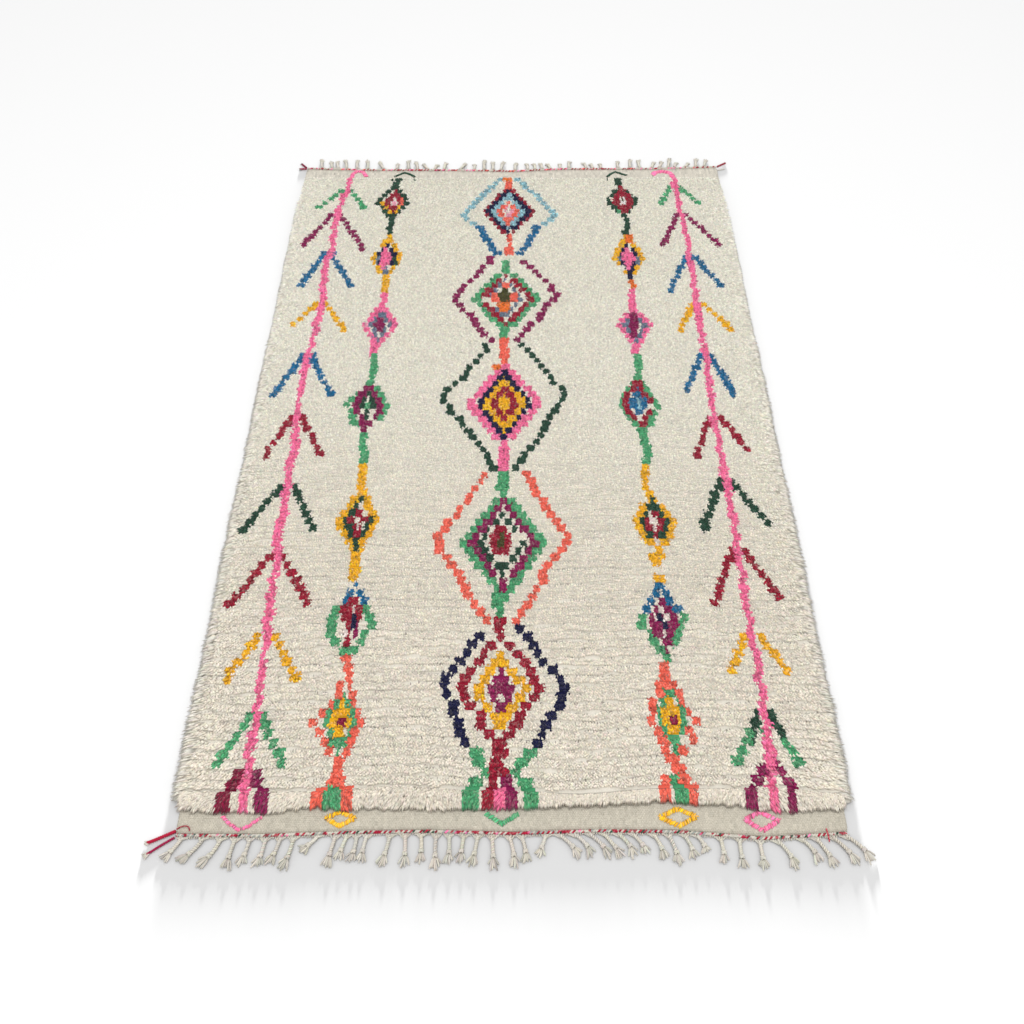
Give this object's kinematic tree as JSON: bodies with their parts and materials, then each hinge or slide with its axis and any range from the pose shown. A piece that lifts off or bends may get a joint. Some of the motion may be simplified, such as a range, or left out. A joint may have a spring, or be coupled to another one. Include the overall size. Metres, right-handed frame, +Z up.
{
  "type": "azilal rug",
  "caption": "Long shaggy cream wool rug lying flat, with bare woven end bands, a twined cord along each end and knotted fringe beyond it.",
  "frame": {"origin": "middle of the flat underside", "axes": "+Y along the rug's length from the end with the wider bare band to the other end, +X across its width, +Z up through the pile"},
  "size_m": [1.6491, 2.7145, 0.0272],
  "materials": {
    "pile_wool": "soft matt wool pile, cream with many-coloured drawing",
    "warp_wool": "matt plied wool, undyed",
    "twined_cord": "matt plied wool, crimson",
    "maroon_wool": "matt plied wool, maroon"
  },
  "bodies": {
    "root": {"rug": "pile_wool", "twined_cord_near": "twined_cord", "twined_cord_far": "twined_cord", "fringe_near": "warp_wool", "fringe_far": "warp_wool", "tail_near_left": "twined_cord", "tail_near_right": "twined_cord", "tail_far_left": "maroon_wool", "tail_far_right": "maroon_wool"}
  },
  "joints": []
}
